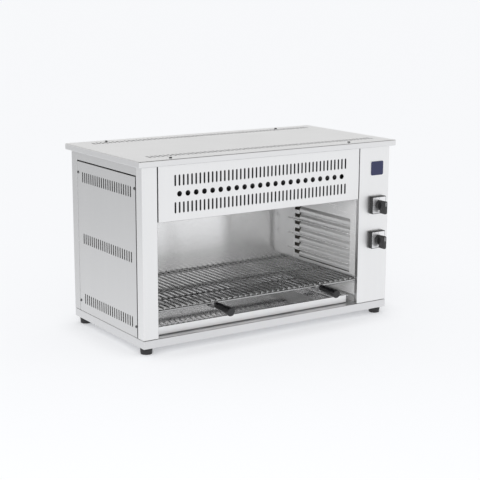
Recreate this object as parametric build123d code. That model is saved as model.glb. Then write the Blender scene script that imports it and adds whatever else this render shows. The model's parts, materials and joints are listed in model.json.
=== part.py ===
"""Counter-top cheese melter: an open-fronted electric grill in folded stainless sheet.

Frame: +X to the right as seen from the front, +Y to the back, +Z up. Z = 0 is the surface under the
feet, X = 0 the middle of the lid, and Y = 0 halfway between the handle tips and the lid's back edge.
"""
from build123d import *
import math
import os

# ---- driving dimensions (mm) ----------------------------------------------------------------
BODY_W = 774.0
BODY_D = 386.0
BODY_H = 472.0
FOOT_H = 18.0
SHEET = 1.2
LID_SIDE = 13.0
LID_FRONT = 12.0
LID_EDGE = 16.0
HANDLE_REACH = 94.0
FOLD_R = 1.6
FIT = 0.05
SEAT = 0.4

# ---- reference planes -----------------------------------------------------------------------
FRONT = -(BODY_D + LID_FRONT - HANDLE_REACH) / 2
BACK = FRONT + BODY_D
BASE = FOOT_H
FLOOR = BASE + 21.6
TOP = BASE + BODY_H
UNDER_LID = TOP - SHEET
LEFT = -BODY_W / 2
RIGHT = BODY_W / 2

# ---- cavity -----------------------------------------------------------------------------------
POST_W = 43.0
CONTROL_W = 102.0
BACK_SPACE = 34.0
VENT_BAND_H = 156.5
CAV_LEFT = LEFT + POST_W
CAV_RIGHT = RIGHT - CONTROL_W
CAV_MID = (CAV_LEFT + CAV_RIGHT) / 2
CAV_BACK = BACK - BACK_SPACE
CAV_TOP = TOP - VENT_BAND_H
LINER_FRONT = FRONT + 12.0
LINER_FOOT = BASE + 44.0

# ---- front and side sheet metal -----------------------------------------------------------------
POST_DEPTH = 30.0
REAR_POST_W = 40.0
PANEL_GAP = 2.0
SIDE_RECESS = 3.0
SIDE_TOP = TOP - 42.0
SIDE_FRONT = FRONT + POST_DEPTH + 3.0
SIDE_BACK = BACK - POST_DEPTH - 1.0
RAIL_GAP = 2.5
FLANGE = 12.0

# ---- vents --------------------------------------------------------------------------------------
SLOT_W = 5.0
SLOT_L = 28.0
SLOT_PITCH = 12.0
HOLE_PITCH = 24.0
FRONT_HOLE_R = 7.0
VENT_Z = TOP - 88.8
VENT_ROW = 34.0
FRONT_ROW_L = CAV_RIGHT - CAV_LEFT - 101.0
HOLE_ROW_L = CAV_RIGHT - CAV_LEFT - 125.0
SIDE_ROW_L = SIDE_BACK - SIDE_FRONT - 58.0
SIDE_SLOT_Y = (SIDE_FRONT + SIDE_BACK) / 2 - 2.5
SIDE_ROW_LOW = BASE + 59.3
SIDE_ROW_STEP = (SIDE_TOP - BASE - 100.0) / 2
SIDE_ROWS_Z = [SIDE_ROW_LOW + SIDE_ROW_STEP * index for index in range(3)]
LID_ROW_L = BODY_W - 78.0
LID_SLOT_X = 10.0
LID_ROWS_Y = [FRONT + 52.7, BACK - 36.2]
REAR_ROW_L = BODY_W - 318.0
REAR_ROWS_Z = [BASE + 110.0, TOP - 92.0]

# ---- pressed rack rails in the liners -------------------------------------------------------------
RAILS_FRONT = FRONT + 37.0
RAILS_BACK = CAV_BACK - 77.0
NOTCH_BACK = CAV_BACK - 55.0
LEDGE_BACK = CAV_BACK - 24.0
WINDOW_LOW = BASE + 104.1
STEP_H = 21.54
STEPS = 7
WINDOW_HIGH = WINDOW_LOW + STEPS * STEP_H
LEDGE_OUT = 6.0
LEDGE_T = 2.4
SEAM_OUT = 1.5
RAIL_DEPTH = 8.0
NOTCH_H = 10.5
GROOVE_LOW = BASE + 86.5
GROOVE_HIGH = BASE + 98.5
GROOVE_DEPTH = 12.0
TRAY_RECESS = 14.0

# ---- rack ------------------------------------------------------------------------------------------
CROSS_R = 3.0
WIRE_R = 2.4
WIRE_COUNT = 37
WIRE_SIDE_GAP = 3.1
WIRE_PITCH = (CAV_RIGHT - CAV_LEFT - 2 * WIRE_SIDE_GAP) / (WIRE_COUNT - 1)
WIRE_Z = BASE + 94.9
CROSS_Z = WIRE_Z - WIRE_R - CROSS_R
RACK_FRONT = FRONT + 10.0
RACK_BACK = CAV_BACK - 7.0
RACK_MID = (RACK_FRONT + RACK_BACK) / 2 - 3.5
RUNNER = 8.0
RACK_TRAVEL = 150.0

# ---- handles -----------------------------------------------------------------------------------------
HANDLE_X = (CAV_LEFT + 155.0, CAV_RIGHT - 143.0)
HANDLE_L = 69.0
HANDLE_REAR_R = 8.5
HANDLE_FRONT_R = 11.6
HANDLE_TILT = 2.5
HANDLE_REAR_Z = BASE + 92.5
STUD_R = 3.0
STUD_IN = 30.0
BRACKET_W = 15.0
BRACKET_T = 2.5
TAB_GAP = 0.8

# ---- drip tray ------------------------------------------------------------------------------------
TRAY_LEFT = CAV_LEFT + 12.0
TRAY_RIGHT = CAV_RIGHT - 11.0
TRAY_FRONT = FRONT + 25.0
TRAY_BACK = CAV_BACK - 9.0
TRAY_LOW = FLOOR + SEAT
TRAY_HIGH = BASE + 43.6
TRAY_RIM = 9.0
LIP_INSET = 13.0
TRAY_TRAVEL = 250.0

# ---- switches ---------------------------------------------------------------------------------------
SWITCH_X = RIGHT - 41.0
SWITCH_Z = {"upper": TOP - 176.4, "lower": TOP - 273.3}
BEZEL = 48.0
BEZEL_D = 11.0
PLATE = 44.0
PLATE_T = 1.0
KNOB_R = 14.0
KNOB_DISC = 8.0
GRIP_UP = 14.0
GRIP_DOWN = 22.0
GRIP_W = 11.0
GRIP_D = 20.0
SHAFT_R = 3.0
SWITCH_BODY = 45.0
SWITCH_BODY_D = 62.0

# ---- heating ------------------------------------------------------------------------------------------
REFLECTOR_TOP = CAV_TOP + 56.5
ELEMENT_R = 4.0
ELEMENT_Z = CAV_TOP + 26.5
LEG_PITCH = 36.0
LEGS = 4
ELEMENT_STARTS = {"front": FRONT + 56.0, "rear": CAV_BACK - 140.0}
ELEMENT_LEFT = CAV_LEFT + 45.0
ELEMENT_RIGHT = CAV_RIGHT - 45.0
TERMINAL_X = CAV_RIGHT + 34.0
WOOL = 12.0
HANGER_PITCH = 180.0
HANGER_END = 16.0

# ---- feet and fasteners ---------------------------------------------------------------------------------
FOOT_R = 16.0
FOOT_X = BODY_W / 2 - 20.0
FOOT_Y = (FRONT + 24.0, BACK - 24.0)
SCREW_R = 2.0
HEAD_R = 4.2
HEAD_H = 2.4
LID_SCREWS = [(LEFT + 88.0, FRONT + 12.5), (RIGHT - 133.0, FRONT + 12.0),
              (LEFT + 97.0, BACK - 14.0), (RIGHT - 123.0, BACK - 16.0)]
SIDE_SCREWS = [(SIDE_FRONT + 6.5, BASE + 50.4), (SIDE_FRONT + 6.5, SIDE_TOP - 30.0),
               (SIDE_BACK - 6.0, BASE + 50.4), (SIDE_BACK - 6.0, SIDE_TOP - 30.0)]
REAR_SCREWS = [(x, z) for x in (LEFT + 57.0, 0.0, RIGHT - 57.0) for z in (BASE + 36.0, TOP - 20.0)]


# ---- helpers ---------------------------------------------------------------------------------------------
def span(x0, x1, y0, y1, z0, z1):
    """Box between two values on each axis."""
    middle = Pos((x0 + x1) / 2, (y0 + y1) / 2, (z0 + z1) / 2)
    return middle * Box(x1 - x0, y1 - y0, z1 - z0)


def rod(start, end, radius):
    """Round bar from one point to another."""
    along = Vector(*end) - Vector(*start)
    plane = Plane(origin=start, z_dir=along)
    return plane * Cylinder(radius, along.length, align=(Align.CENTER, Align.CENTER, Align.MIN))


def mirror_x(shape):
    """The same shape on the other side of the middle plane."""
    return mirror(shape, about=Plane.YZ)


def fold(shape, edges, radius=FOLD_R):
    """Round the outside of a sheet's folds."""
    return fillet(edges, radius) if edges else shape


def row(count, pitch, middle):
    """Evenly spaced places about a middle."""
    first = middle - (count - 1) * pitch / 2
    return [first + pitch * index for index in range(count)]


def fitted(length, pitch):
    """How many places a row of this length holds."""
    return int(length / pitch + 0.001) + 1


def group(solids):
    """Several separate solids that share one node."""
    return Compound(children=list(solids))


def save(name, shape):
    """Write one piece."""
    export_step(shape, f"parts/{name}.step")


# ---- casing ------------------------------------------------------------------------------------------------
def base_pan():
    """Floor of the casing: a folded pan, open beneath inside its bottom flanges."""
    flange = 48.0
    block = span(LEFT, RIGHT, FRONT, BACK, BASE, FLOOR)
    block = fold(block, block.edges().filter_by(Axis.Z))
    block = fold(block, block.edges().group_by(Axis.Z)[-1])
    inside = span(LEFT + SHEET, RIGHT - SHEET, FRONT + SHEET, BACK - SHEET, BASE + SHEET, FLOOR - SHEET)
    opening = span(LEFT + flange, RIGHT - flange, FRONT + flange, BACK - flange, BASE, BASE + SHEET)
    pan = block - inside - opening
    for x in (-FOOT_X, FOOT_X):
        for y in FOOT_Y:
            pan -= rod((x, y, BASE - 1), (x, y, BASE + SHEET + 1), 3.2)
    return pan


def front_channel(x0, x1):
    """Upright with a face at the front, a return at each side and a hem behind the outer return."""
    outer_left = x0 == LEFT
    block = span(x0, x1, FRONT, FRONT + POST_DEPTH, FLOOR, UNDER_LID)
    block = fold(block, block.edges().filter_by(Axis.Z).group_by(Axis.Y)[0])
    hollow = span(x0 + SHEET, x1 - SHEET, FRONT + SHEET, FRONT + POST_DEPTH, FLOOR, UNDER_LID)
    post = block - hollow
    inner_x = (x1 - SHEET, x1) if outer_left else (x0, x0 + SHEET)
    post -= span(*inner_x, LINER_FRONT, FRONT + POST_DEPTH, FLOOR, UNDER_LID)
    hem_x = (x0 + SHEET, x0 + FLANGE) if outer_left else (x1 - FLANGE, x1 - SHEET)
    return post + span(*hem_x, FRONT + POST_DEPTH - SHEET, FRONT + POST_DEPTH, FLOOR, UNDER_LID)


def control_panel():
    """Right front upright, with a hole for each switch shaft."""
    panel = front_channel(CAV_RIGHT, RIGHT)
    for z in SWITCH_Z.values():
        panel -= rod((SWITCH_X, FRONT - 1, z), (SWITCH_X, FRONT + SHEET + 1, z), 8.0)
    return panel


def rear_post():
    """Left rear upright: an angle with a hem in front."""
    inside_x = LEFT + REAR_POST_W
    block = span(LEFT, inside_x, BACK - POST_DEPTH, BACK, FLOOR, UNDER_LID)
    corner = block.edges().filter_by(Axis.Z).group_by(Axis.Y)[-1].sort_by(Axis.X)[0]
    block = fold(block, [corner])
    hollow = span(LEFT + SHEET, inside_x, BACK - POST_DEPTH, BACK - SHEET, FLOOR, UNDER_LID)
    hem = span(LEFT + SHEET, LEFT + FLANGE, BACK - POST_DEPTH, BACK - POST_DEPTH + SHEET, FLOOR, UNDER_LID)
    return block - hollow + hem


def vent_panel():
    """Panel over the opening: two rows of slots with a row of round holes between them."""
    x0 = CAV_LEFT + PANEL_GAP
    x1 = CAV_RIGHT - PANEL_GAP
    depth = 18.0
    block = span(x0, x1, FRONT, FRONT + depth, CAV_TOP, UNDER_LID)
    lower = block.edges().filter_by(Axis.X).group_by(Axis.Y)[0].sort_by(Axis.Z)[0]
    block = fold(block, [lower])
    hollow = span(x0 + SHEET, x1 - SHEET, FRONT + SHEET, FRONT + depth, CAV_TOP + SHEET, UNDER_LID)
    panel = block - hollow
    cutters = []
    for z in (VENT_Z - VENT_ROW, VENT_Z + VENT_ROW):
        for x in row(fitted(FRONT_ROW_L, SLOT_PITCH), SLOT_PITCH, CAV_MID):
            cutters.append(Pos(x, FRONT, z) * Box(SLOT_W, 4 * SHEET, SLOT_L))
    for x in row(fitted(HOLE_ROW_L, HOLE_PITCH), HOLE_PITCH, CAV_MID):
        cutters.append(rod((x, FRONT - 1, VENT_Z), (x, FRONT + SHEET + 1, VENT_Z), FRONT_HOLE_R))
    return panel - cutters


def heat_shield():
    """Bright plate behind the vent panel, on a foot and a head that reach the panel's returns."""
    x0 = CAV_LEFT + PANEL_GAP + SHEET
    x1 = CAV_RIGHT - PANEL_GAP - SHEET
    y0 = FRONT + 13.0
    low = CAV_TOP + SHEET
    plate = span(x0, x1, y0, y0 + SHEET, low, TOP - LID_EDGE)
    return plate + span(x0, x1, y0 - 8, y0, low, low + SHEET)


def lid():
    """Folded pan that covers the casing, with a row of slots along its front and its back."""
    x1 = BODY_W / 2 + LID_SIDE
    y0 = FRONT - LID_FRONT
    y1 = BACK + LID_FRONT
    block = span(-x1, x1, y0, y1, TOP - LID_EDGE, TOP)
    block = fold(block, block.edges().filter_by(Axis.Z), 2.4)
    block = fold(block, block.edges().group_by(Axis.Z)[-1], 1.1)
    hollow = span(SHEET - x1, x1 - SHEET, y0 + SHEET, y1 - SHEET, TOP - LID_EDGE, UNDER_LID)
    cutters = []
    for y in LID_ROWS_Y:
        for x in row(fitted(LID_ROW_L, SLOT_PITCH), SLOT_PITCH, LID_SLOT_X):
            cutters.append(Pos(x, y, TOP) * Box(SLOT_W, SLOT_L, 4 * SHEET))
    for x, y in LID_SCREWS:
        cutters.append(rod((x, y, UNDER_LID - 1), (x, y, TOP + 1), SCREW_R + 0.2))
    return block - hollow - cutters


def upper_rail():
    """Left upper rail: a channel between the posts, above the side panel."""
    y0 = FRONT + POST_DEPTH
    y1 = BACK - POST_DEPTH
    low = SIDE_TOP + RAIL_GAP
    block = span(LEFT, LEFT + 2 * FLANGE, y0, y1, low, UNDER_LID)
    lower = block.edges().filter_by(Axis.Y).group_by(Axis.Z)[0].sort_by(Axis.X)[0]
    block = fold(block, [lower])
    return block - span(LEFT + SHEET, LEFT + 2 * FLANGE, y0, y1, low + SHEET, UNDER_LID)


def side_panel():
    """Left side panel: recessed sheet with three rows of slots and flanges at its ends."""
    x0 = LEFT + SIDE_RECESS
    low = FLOOR
    panel = span(x0, x0 + SHEET, SIDE_FRONT, SIDE_BACK, low, SIDE_TOP)
    panel += span(x0 + SHEET, x0 + FLANGE, SIDE_FRONT, SIDE_BACK, low, low + SHEET)
    panel += span(x0 + SHEET, x0 + FLANGE, SIDE_FRONT, SIDE_BACK, SIDE_TOP - SHEET, SIDE_TOP)
    cutters = []
    for z in SIDE_ROWS_Z:
        for y in row(fitted(SIDE_ROW_L, SLOT_PITCH), SLOT_PITCH, SIDE_SLOT_Y):
            cutters.append(Pos(x0, y, z) * Box(4 * SHEET, SLOT_W, SLOT_L))
    for y, z in SIDE_SCREWS:
        cutters.append(rod((x0 - 1, y, z), (x0 + SHEET + 1, y, z), SCREW_R + 0.2))
    return panel - cutters


def rear_panel():
    """Back of the casing, inside the posts' back faces, with two rows of vents and the gland's hole."""
    y1 = BACK - SHEET
    y0 = y1 - SHEET
    inset = 18.0
    panel = span(LEFT + inset, RIGHT - inset, y0, y1, FLOOR, UNDER_LID)
    cutters = [rod((GLAND_X, y0 - 1, GLAND_Z), (GLAND_X, y1 + 1, GLAND_Z), GLAND_R)]
    for z in REAR_ROWS_Z:
        for x in row(fitted(REAR_ROW_L, HOLE_PITCH), HOLE_PITCH, 0):
            cutters.append(Pos(x, y0, z) * Box(SLOT_W, 6 * SHEET, SLOT_L))
    for x, z in REAR_SCREWS:
        cutters.append(rod((x, y0 - 1, z), (x, y1 + 1, z), SCREW_R + 0.2))
    return panel - cutters


# ---- cavity pieces, drawn for the right side -----------------------------------------------------------------
def liner():
    """Right cavity wall: a window for the rails, notches behind it, a runner groove and a foot."""
    wall = span(CAV_RIGHT, CAV_RIGHT + SHEET, LINER_FRONT, CAV_BACK, GROOVE_HIGH, CAV_TOP)
    wall -= span(CAV_RIGHT - 1, CAV_RIGHT + 2, RAILS_FRONT, RAILS_BACK, WINDOW_LOW, WINDOW_HIGH)
    for step in range(STEPS):
        z = WINDOW_LOW + (step + 0.5) * STEP_H + 2.5
        notch = span(CAV_RIGHT - 1, CAV_RIGHT + 2, RAILS_BACK, NOTCH_BACK, z - NOTCH_H / 2, z + NOTCH_H / 2)
        wall -= notch
    back = CAV_RIGHT + GROOVE_DEPTH
    wall += span(CAV_RIGHT, back + SHEET, LINER_FRONT, CAV_BACK, GROOVE_HIGH, GROOVE_HIGH + SHEET)
    wall += span(back, back + SHEET, LINER_FRONT, CAV_BACK, GROOVE_LOW - SHEET, GROOVE_HIGH + SHEET)
    wall += span(CAV_RIGHT, back, LINER_FRONT, CAV_BACK, GROOVE_LOW - SHEET, GROOVE_LOW)
    wall += span(CAV_RIGHT, CAV_RIGHT + SHEET, LINER_FRONT, CAV_BACK, LINER_FOOT, GROOVE_LOW)
    recess = CAV_RIGHT + TRAY_RECESS
    wall += span(CAV_RIGHT, recess + SHEET, LINER_FRONT, CAV_BACK, LINER_FOOT, LINER_FOOT + SHEET)
    wall += span(recess, recess + SHEET, LINER_FRONT, CAV_BACK, FLOOR, LINER_FOOT + SHEET)
    seam_low = GROOVE_HIGH + SHEET
    wall += span(CAV_RIGHT - SEAM_OUT, CAV_RIGHT, NOTCH_BACK + 1, NOTCH_BACK + 4, seam_low, WINDOW_HIGH + 8)
    return wall


def rack_rails():
    """Right rail pressing: seven sloped steps in the liner's window."""
    face = []
    for step in range(STEPS + 1):
        z = WINDOW_HIGH - step * STEP_H
        face.append((RAIL_DEPTH, z - 3.0 if 0 < step < STEPS else z))
        if step < STEPS:
            face.append((1.5, z - STEP_H + 2.5))
    outline = [(CAV_RIGHT + depth, z) for depth, z in face]
    behind = [(x + 1.5, z) for x, z in reversed(outline)]
    section = Plane.XZ.offset(-RAILS_FRONT) * make_face(Polyline(*outline, *behind, close=True))
    return extrude(section, -(RAILS_BACK - RAILS_FRONT))


def rack_ledges():
    """Three right ledges that a rack slides on, under every second step of the pressing."""
    ledges = []
    for step in range(1, STEPS, 2):
        z = WINDOW_HIGH - (step + 1) * STEP_H
        outer = CAV_RIGHT + 1.5
        inner = CAV_RIGHT - LEDGE_OUT
        ledge = span(inner, outer, RAILS_FRONT + 6, RAILS_BACK, z, z + LEDGE_T)
        ledge += span(inner, CAV_RIGHT - SEAM_OUT, RAILS_BACK, LEDGE_BACK, z, z + LEDGE_T)
        ledges.append(ledge)
    return group(ledges)


def back_liner():
    """Polished sheet at the back of the cavity, with a flange at its head."""
    sheet = span(CAV_LEFT - TRAY_RECESS, CAV_RIGHT + TRAY_RECESS, CAV_BACK, CAV_BACK + SHEET, FLOOR, CAV_TOP)
    return sheet + span(CAV_LEFT, CAV_RIGHT, CAV_BACK + SHEET, CAV_BACK + FLANGE, CAV_TOP - SHEET, CAV_TOP)


def reflector():
    """Inverted pan that closes the cavity above the elements, with holes for their cold ends."""
    y0 = FRONT + 19.0
    y1 = CAV_BACK + SHEET
    block = span(CAV_LEFT - SHEET, CAV_RIGHT + SHEET, y0, y1, CAV_TOP, REFLECTOR_TOP)
    hollow = span(CAV_LEFT, CAV_RIGHT, y0 + SHEET, y1 - SHEET, CAV_TOP, REFLECTOR_TOP - SHEET)
    pan = block - hollow
    for start in ELEMENT_STARTS.values():
        for y in (start, start + (LEGS - 1) * LEG_PITCH):
            pan -= rod((CAV_RIGHT - 1, y, ELEMENT_Z), (CAV_RIGHT + 2, y, ELEMENT_Z), ELEMENT_R)
    return pan


def element(start):
    """Tubular heating element: four legs with tight return bends, both cold ends out at the right."""
    bend = LEG_PITCH / 2
    solids = []
    for leg in range(LEGS):
        y = start + leg * LEG_PITCH
        right = TERMINAL_X if leg in (0, LEGS - 1) else ELEMENT_RIGHT
        solids.append(rod((ELEMENT_LEFT, y, ELEMENT_Z), (right, y, ELEMENT_Z), ELEMENT_R))
    for leg in range(LEGS - 1):
        middle_y = start + leg * LEG_PITCH + bend
        at_left = leg % 2 == 0
        x = ELEMENT_LEFT if at_left else ELEMENT_RIGHT
        circle = Plane(origin=(x, middle_y - bend, ELEMENT_Z), x_dir=(0, 1, 0), z_dir=(1, 0, 0))
        axis = Axis((x, middle_y, ELEMENT_Z), (0, 0, 1))
        turn = -180 if at_left else 180
        solids.append(revolve(circle * Circle(ELEMENT_R), axis, turn))
    tube = solids[0]
    for solid in solids[1:]:
        tube += solid
    return tube


def element_hangers():
    """Three straps that carry the elements from the reflector."""
    strap_w = 14.0
    straps = []
    for x in row(3, HANGER_PITCH, CAV_MID):
        low = ELEMENT_Z - ELEMENT_R - SHEET
        y0 = ELEMENT_STARTS["front"] - HANGER_END
        y1 = CAV_BACK - HANGER_END
        strap = span(x - strap_w / 2, x + strap_w / 2, y0, y1, low, low + SHEET)
        for y in (y0, ELEMENT_STARTS["rear"] - 26.0, y1 - SHEET):
            hook = span(x - strap_w / 2, x + strap_w / 2, y, y + SHEET, low, REFLECTOR_TOP - SHEET)
            strap += hook
        straps.append(strap)
    return group(straps)


# ---- insulation ---------------------------------------------------------------------------------------------
def wool_side():
    """Mineral wool slab beside the right liner."""
    x0 = CAV_RIGHT + TRAY_RECESS + SHEET + 0.5
    return span(x0, x0 + WOOL, FRONT + 36, CAV_BACK - 7, FLOOR, CAV_TOP - 4)


def wool_back():
    """Mineral wool slab behind the back liner."""
    y0 = CAV_BACK + SHEET
    return span(CAV_LEFT, CAV_RIGHT, y0, y0 + WOOL, FLOOR, CAV_TOP - 2 * SHEET)


def wool_top():
    """Mineral wool slab on the reflector."""
    return span(CAV_LEFT, CAV_RIGHT, FRONT + 24, CAV_BACK, REFLECTOR_TOP, REFLECTOR_TOP + 2 * WOOL)


# ---- switches ------------------------------------------------------------------------------------------------
def switch_bezel(z):
    """Square switch housing in front of the panel, bored for the shaft."""
    block = span(SWITCH_X - BEZEL / 2, SWITCH_X + BEZEL / 2, FRONT - BEZEL_D, FRONT, z - BEZEL / 2, z + BEZEL / 2)
    block = fold(block, block.edges().filter_by(Axis.Y), 3.0)
    return block - rod((SWITCH_X, FRONT - BEZEL_D - 1, z), (SWITCH_X, FRONT + 1, z), 8.0)


def face_plate(z):
    """Thin square dial plate on the bezel, bare."""
    y1 = FRONT - BEZEL_D
    block = span(SWITCH_X - PLATE / 2, SWITCH_X + PLATE / 2, y1 - PLATE_T, y1, z - PLATE / 2, z + PLATE / 2)
    block = fold(block, block.edges().filter_by(Axis.Y), 2.0)
    return block - rod((SWITCH_X, y1 - PLATE_T - 1, z), (SWITCH_X, y1 + 1, z), 8.0)


def switch_body(z):
    """Cam stack behind the panel, bored for the shaft, with a row of terminals on each side."""
    half = SWITCH_BODY / 2
    y0 = FRONT + SHEET
    body = span(SWITCH_X - half + 5, SWITCH_X + half - 5, y0, y0 + SWITCH_BODY_D, z - half, z + half)
    for side in (-1, 1):
        for y in (y0 + 16, y0 + 30, y0 + 44):
            near = SWITCH_X + side * (half - 5)
            far = SWITCH_X + side * (half - 1)
            body += span(min(near, far), max(near, far), y, y + 8, z - half + 6, z + half - 6)
    return body - rod((SWITCH_X, y0 - 1, z), (SWITCH_X, y0 + SWITCH_BODY_D - 8, z), SHAFT_R + FIT)


def knob(z):
    """Knob: a round skirt with a bar grip across it, whose longer end hangs down at rest."""
    y1 = FRONT - BEZEL_D - PLATE_T - SEAT
    skirt = rod((SWITCH_X, y1 - KNOB_DISC, z), (SWITCH_X, y1, z), KNOB_R)
    grip = span(SWITCH_X - GRIP_W / 2, SWITCH_X + GRIP_W / 2, y1 - KNOB_DISC - GRIP_D, y1 - KNOB_DISC,
                z - GRIP_DOWN, z + GRIP_UP)
    grip = fold(grip, grip.edges().filter_by(Axis.Y), 4.5)
    grip = fold(grip, grip.edges().group_by(Axis.Y)[0], 1.5)
    return skirt + grip


def shaft(z):
    """Switch shaft from the knob into the cam stack."""
    y1 = FRONT - BEZEL_D - PLATE_T - SEAT
    return rod((SWITCH_X, y1, z), (SWITCH_X, FRONT + SHEET + SWITCH_BODY_D - 10, z), SHAFT_R)


# ---- wiring -----------------------------------------------------------------------------------------------------
GLAND_X = RIGHT - 59.0
GLAND_Z = BASE + 60.0
GLAND_R = 10.0


def cable_gland():
    """Gland in the rear panel: a nut outside, a thread through the sheet and a nut inside."""
    y_out = BACK - SHEET
    body = rod((GLAND_X, y_out - SHEET - 14, GLAND_Z), (GLAND_X, y_out + 9, GLAND_Z), GLAND_R)
    for y0, y1 in ((y_out, y_out + 6), (y_out - SHEET - 6, y_out - SHEET)):
        hexagon = Plane(origin=(GLAND_X, y0, GLAND_Z), z_dir=(0, 1, 0)) * RegularPolygon(15.0, 6)
        body += extrude(hexagon, y1 - y0)
    return body - rod((GLAND_X, y_out - 30, GLAND_Z), (GLAND_X, y_out + 12, GLAND_Z), 5.5)


def terminal_block():
    """Five-way terminal block on the compartment's floor."""
    ways = 5
    pitch = 14.0
    x = RIGHT - 45.0
    y0 = BACK - 166.0
    block = span(x - 12, x + 12, y0, y0 + ways * pitch, FLOOR, FLOOR + 20)
    for way in range(ways):
        y = y0 + (way + 0.5) * pitch
        for side in (-6, 6):
            block -= rod((x + side, y, FLOOR + 12), (x + side, y, FLOOR + 21), 3.2)
    return block


def badge_plate():
    """Plain plate on the control panel."""
    x = RIGHT - 43.0
    z = TOP - 75.3
    plate = span(x - 23, x + 23, FRONT - 0.8, FRONT, z - 20.9, z + 20.9)
    return fold(plate, plate.edges().filter_by(Axis.Y), 6.0)


# ---- feet and fasteners -----------------------------------------------------------------------------------------
def foot(x, y):
    """Round foot, slightly narrower at the bottom, with a pocket for its screw."""
    cone = Pos(x, y, 0) * Cone(FOOT_R - 1.2, FOOT_R, FOOT_H, align=(Align.CENTER, Align.CENTER, Align.MIN))
    cone -= rod((x, y, -1), (x, y, 8), 7.0)
    return cone - rod((x, y, 7), (x, y, FOOT_H + 1), 3.2)


def foot_screw(x, y):
    """Foot screw: pan head in the pocket, shank up through the pan, nut above the sheet."""
    head = rod((x, y, 4.5), (x, y, 8), 5.5)
    shank = rod((x, y, 8), (x, y, BASE + SHEET + 7), 3.0)
    nut_plane = Plane(origin=(x, y, BASE + SHEET), z_dir=(0, 0, 1))
    return head + shank + extrude(nut_plane * RegularPolygon(5.8, 6), 5.0)


def screw(at, out, shank=9.0):
    """Sheet-metal screw: a flat round head on the surface and its shank through the hole."""
    place = Vector(*at)
    outward = Vector(*out)
    head = rod(tuple(place), tuple(place + outward * HEAD_H), HEAD_R)
    head = chamfer(head.edges().sort_by_distance(place + outward * (HEAD_H + 20))[:1], 0.8)
    return head + rod(tuple(place - outward * shank), tuple(place), SCREW_R)


def lid_screws():
    """Four screws in the lid."""
    return group(screw((x, y, TOP), (0, 0, 1)) for x, y in LID_SCREWS)


def side_screws(side):
    """Four screws in one side panel."""
    x = side * (BODY_W / 2 - SIDE_RECESS)
    return group(screw((x, y, z), (side, 0, 0)) for y, z in SIDE_SCREWS)


def rear_screws():
    """Six screws in the rear panel."""
    return group(screw((x, BACK - SHEET, z), (0, 1, 0)) for x, z in REAR_SCREWS)


# ---- rack ---------------------------------------------------------------------------------------------------------
def rack_cross_wires():
    """Three wires across: the rear two run in the liners' grooves, the front one stays inside them."""
    reach = {RACK_FRONT: -1.0, RACK_MID: RUNNER, RACK_BACK: RUNNER}
    wires = []
    for y, extra in reach.items():
        wires.append(rod((CAV_LEFT - extra, y, CROSS_Z), (CAV_RIGHT + extra, y, CROSS_Z), CROSS_R))
    return group(wires)


def rack_long_wires():
    """Wires from front to back, welded on the cross wires."""
    y0 = RACK_FRONT - CROSS_R
    y1 = RACK_BACK + CROSS_R
    return group(rod((x, y0, WIRE_Z), (x, y1, WIRE_Z), WIRE_R) for x in row(WIRE_COUNT, WIRE_PITCH, CAV_MID))


def handle_axis(along):
    """Point on a handle's axis in the YZ plane, measured from its rear end."""
    tilt = math.radians(HANDLE_TILT)
    rear_y = FRONT - HANDLE_REACH + HANDLE_L * math.cos(tilt) + HANDLE_FRONT_R * math.sin(tilt)
    return rear_y - along * math.cos(tilt), HANDLE_REAR_Z - along * math.sin(tilt)


def handle(x):
    """Tapered round handle with a rounded front end and a blind bore for its stud."""
    y, z = handle_axis(0)
    profile = Polyline((0, 0), (HANDLE_REAR_R, 0), (HANDLE_FRONT_R, HANDLE_L), (0, HANDLE_L), close=True)
    body = revolve(Plane.XZ * make_face(profile), Axis.Z)
    body = fillet(body.edges().group_by(Axis.Z)[-1], 2.5)
    body = fillet(body.edges().group_by(Axis.Z)[0], 1.5)
    body -= Cylinder(STUD_R, STUD_IN, align=(Align.CENTER, Align.CENTER, Align.MIN))
    front = handle_axis(1)
    direction = (0, front[0] - y, front[1] - z)
    return Plane(origin=(x, y, z), z_dir=direction) * body


def handle_brackets():
    """One bracket for each handle: a strap under the rack, a tab at its front and a stud in the handle."""
    brackets = []
    for x in HANDLE_X:
        y_in, z_in = handle_axis(STUD_IN)
        y_out, z_out = handle_axis(0)
        half = BRACKET_W / 2
        top = CROSS_Z - CROSS_R
        tab_back = y_out + TAB_GAP + BRACKET_T
        strap = span(x - half, x + half, y_out + TAB_GAP, RACK_FRONT + 20, top - BRACKET_T, top)
        tab = span(x - half, x + half, y_out + TAB_GAP, tab_back, top - BRACKET_T, z_out + half)
        bracket = strap + tab + rod((x, y_in, z_in), (x, y_out, z_out), STUD_R)
        bracket += rod((x, y_out, z_out), (x, tab_back, z_out), STUD_R)
        brackets.append(bracket)
    return group(brackets)


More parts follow.
